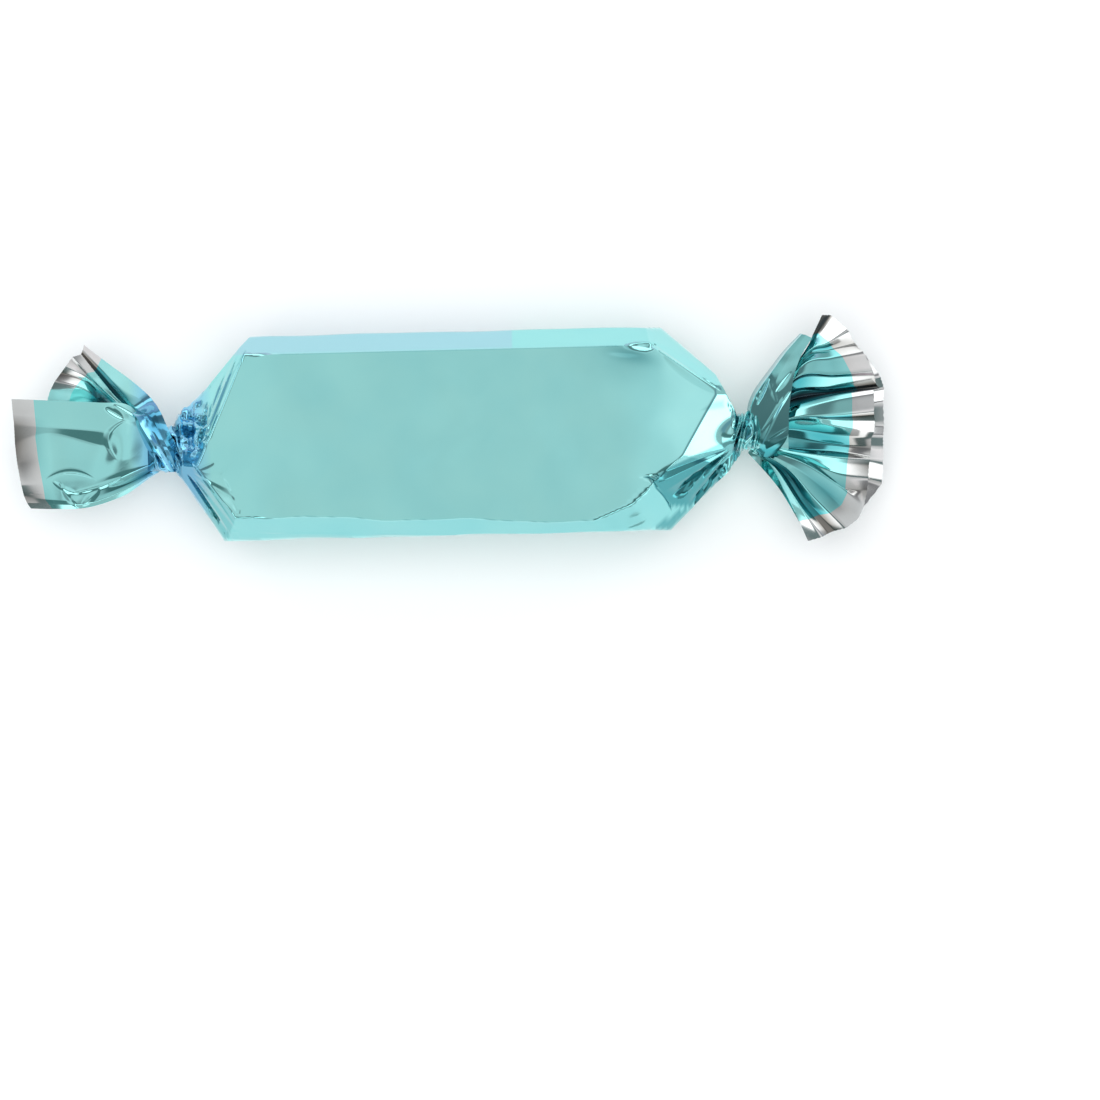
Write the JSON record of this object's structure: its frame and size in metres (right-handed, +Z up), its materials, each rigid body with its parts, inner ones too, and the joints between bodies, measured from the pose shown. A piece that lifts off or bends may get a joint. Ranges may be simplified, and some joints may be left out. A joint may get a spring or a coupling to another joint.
{
  "type": "wrapped caramel candy",
  "caption": "Caramel bar in a twist wrapper of mirror-bright teal film, with a flat folded tail at one end and a round pleated fan at the other.",
  "frame": {"origin": "on the surface that the candy lies on, under the middle of its outline", "axes": "+X along the bar towards the round fan, +Y across the bar, +Z up out of the flat front face"},
  "size_m": [0.092, 0.0234, 0.012],
  "materials": {
    "teal_film": "metallised plastic film under a clear teal lacquer, mirror-bright",
    "silver_film": "the same film bare of lacquer along the two cut ends, mirror-bright silver"
  },
  "bodies": {
    "root": {"wrapped_candy": "teal_film"}
  },
  "joints": []
}
